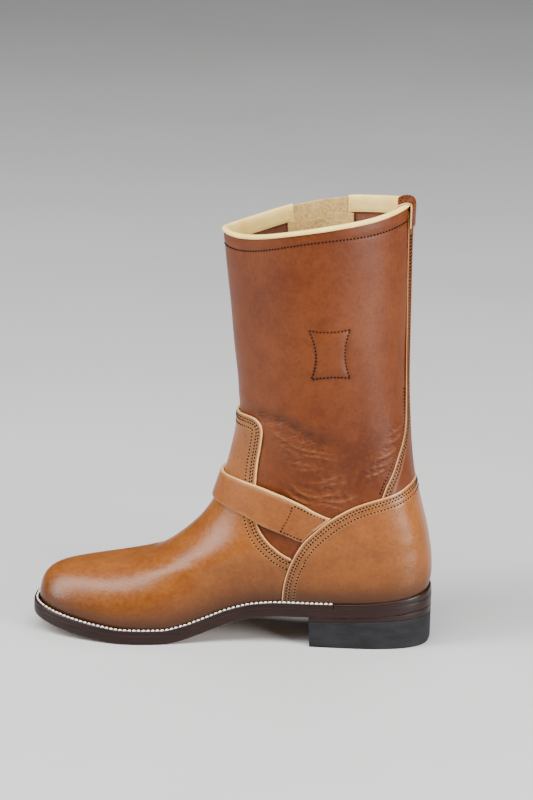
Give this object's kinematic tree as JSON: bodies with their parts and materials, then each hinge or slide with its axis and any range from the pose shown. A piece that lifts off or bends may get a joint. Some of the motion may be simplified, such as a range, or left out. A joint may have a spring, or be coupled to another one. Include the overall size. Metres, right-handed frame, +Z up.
{
  "type": "engineer boot",
  "caption": "Tall pull-on leather boot for the right foot with an instep strap, buckled top strap over a suede gusset, stitched welt and stacked heel.",
  "frame": {"origin": "on the floor under the middle of the heel", "axes": "+Z up, -X toward the toe, -Y toward the inner side of the right foot"},
  "size_m": [0.2987, 0.1077, 0.3384],
  "materials": {
    "shaft_leather": "semi-gloss reddish brown leather",
    "vamp_leather": "semi-gloss tan brown leather",
    "strap_leather": "semi-gloss brown strap leather",
    "sole_leather": "dark burnished edge",
    "heel_rubber": "matt charcoal rubber",
    "insole_leather": "bare tan leather",
    "binding_leather": "cream leather",
    "gusset_suede": "tan suede",
    "buckle_steel": "satin steel"
  },
  "bodies": {
    "root": {"outsole": "sole_leather", "welt": "sole_leather", "heel_rand": "sole_leather", "heel_lift": "sole_leather", "heel_rubber": "heel_rubber", "insole": "insole_leather", "upper": "shaft_leather", "vamp": "vamp_leather", "counter": "vamp_leather", "back_strip": "shaft_leather", "collar_binding": "binding_leather", "collar_tab": "shaft_leather", "gusset": "gusset_suede", "instep_strap": "strap_leather", "instep_chape": "strap_leather", "instep_buckle": "buckle_steel", "instep_roller": "buckle_steel", "instep_prong": "buckle_steel", "top_strap": "strap_leather", "top_chape": "strap_leather", "top_buckle": "buckle_steel", "top_roller": "buckle_steel", "top_prong": "buckle_steel"}
  },
  "joints": []
}
